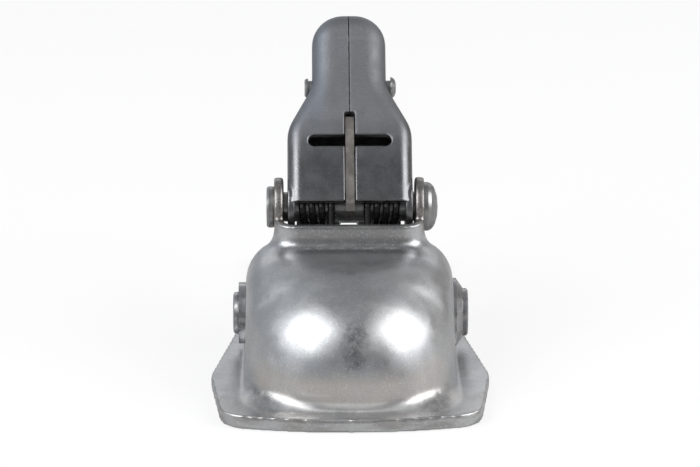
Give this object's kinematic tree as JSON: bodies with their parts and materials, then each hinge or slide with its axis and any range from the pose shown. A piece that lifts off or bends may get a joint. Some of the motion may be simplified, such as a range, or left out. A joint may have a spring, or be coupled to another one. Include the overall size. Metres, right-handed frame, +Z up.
{
  "type": "trailer coupling head",
  "caption": "Pressed steel quick-release coupling head for a 50 mm tow ball, with a lift handle, trigger and a linked jaw.",
  "frame": {"origin": "under the centre of the ball socket, in the plane of the base's underside", "axes": "+Z up from the base, +Y back towards the trailer, so the ball end faces -Y, and +X to the right seen from the ball end"},
  "size_m": [0.1116, 0.1972, 0.1272],
  "materials": {
    "zinc_plate": "satin",
    "handle_steel": "satin",
    "trigger_steel": "satin",
    "fixings": "satin",
    "jaw_steel": "satin",
    "spring_steel": "satin"
  },
  "bodies": {
    "coupling": {"body": "zinc_plate", "handle_pin": "fixings", "jaw_pin": "fixings", "jaw_washer_left": "fixings", "jaw_washer_right": "fixings", "jaw_spacer_left": "fixings", "jaw_spacer_right": "fixings"},
    "handle": {"handle_left": "handle_steel", "handle_right": "handle_steel", "neck_rivet": "fixings", "neck_spacer": "fixings", "spring_left": "spring_steel", "spring_right": "spring_steel", "link_pin_upper": "fixings", "link_spacer": "fixings"},
    "links": {"link_left": "fixings", "link_right": "fixings"},
    "jaw": {"jaw": "jaw_steel", "link_pin_lower": "fixings"},
    "trigger": {"trigger": "trigger_steel"}
  },
  "joints": [
    {"name": "handle_lift", "type": "hinge", "parent": "coupling", "child": "handle", "pos_m": [0, 0.0513, 0.062], "axis": [1, 0, 0], "range_deg": [0, 45], "stiffness_Nm_per_rad": 0.4},
    {"name": "jaw_turn", "type": "hinge", "parent": "coupling", "child": "jaw", "pos_m": [0, 0.039, 0.0207], "axis": [1, 0, 0], "range_deg": [0, 45]},
    {"name": "link_swing", "type": "hinge", "parent": "handle", "child": "links", "pos_m": [0, 0.0658, 0.05524], "axis": [1, 0, 0], "range_deg": [-45, 0]},
    {"name": "trigger_squeeze", "type": "hinge", "parent": "handle", "child": "trigger", "pos_m": [0, 0.0513, 0.062], "axis": [1, 0, 0], "range_deg": [0, 6], "stiffness_Nm_per_rad": 0.8}
  ],
  "couplings": [
    {"joint": "jaw_turn", "follows": "handle_lift", "ratio": 1},
    {"joint": "link_swing", "follows": "handle_lift", "ratio": -1}
  ]
}
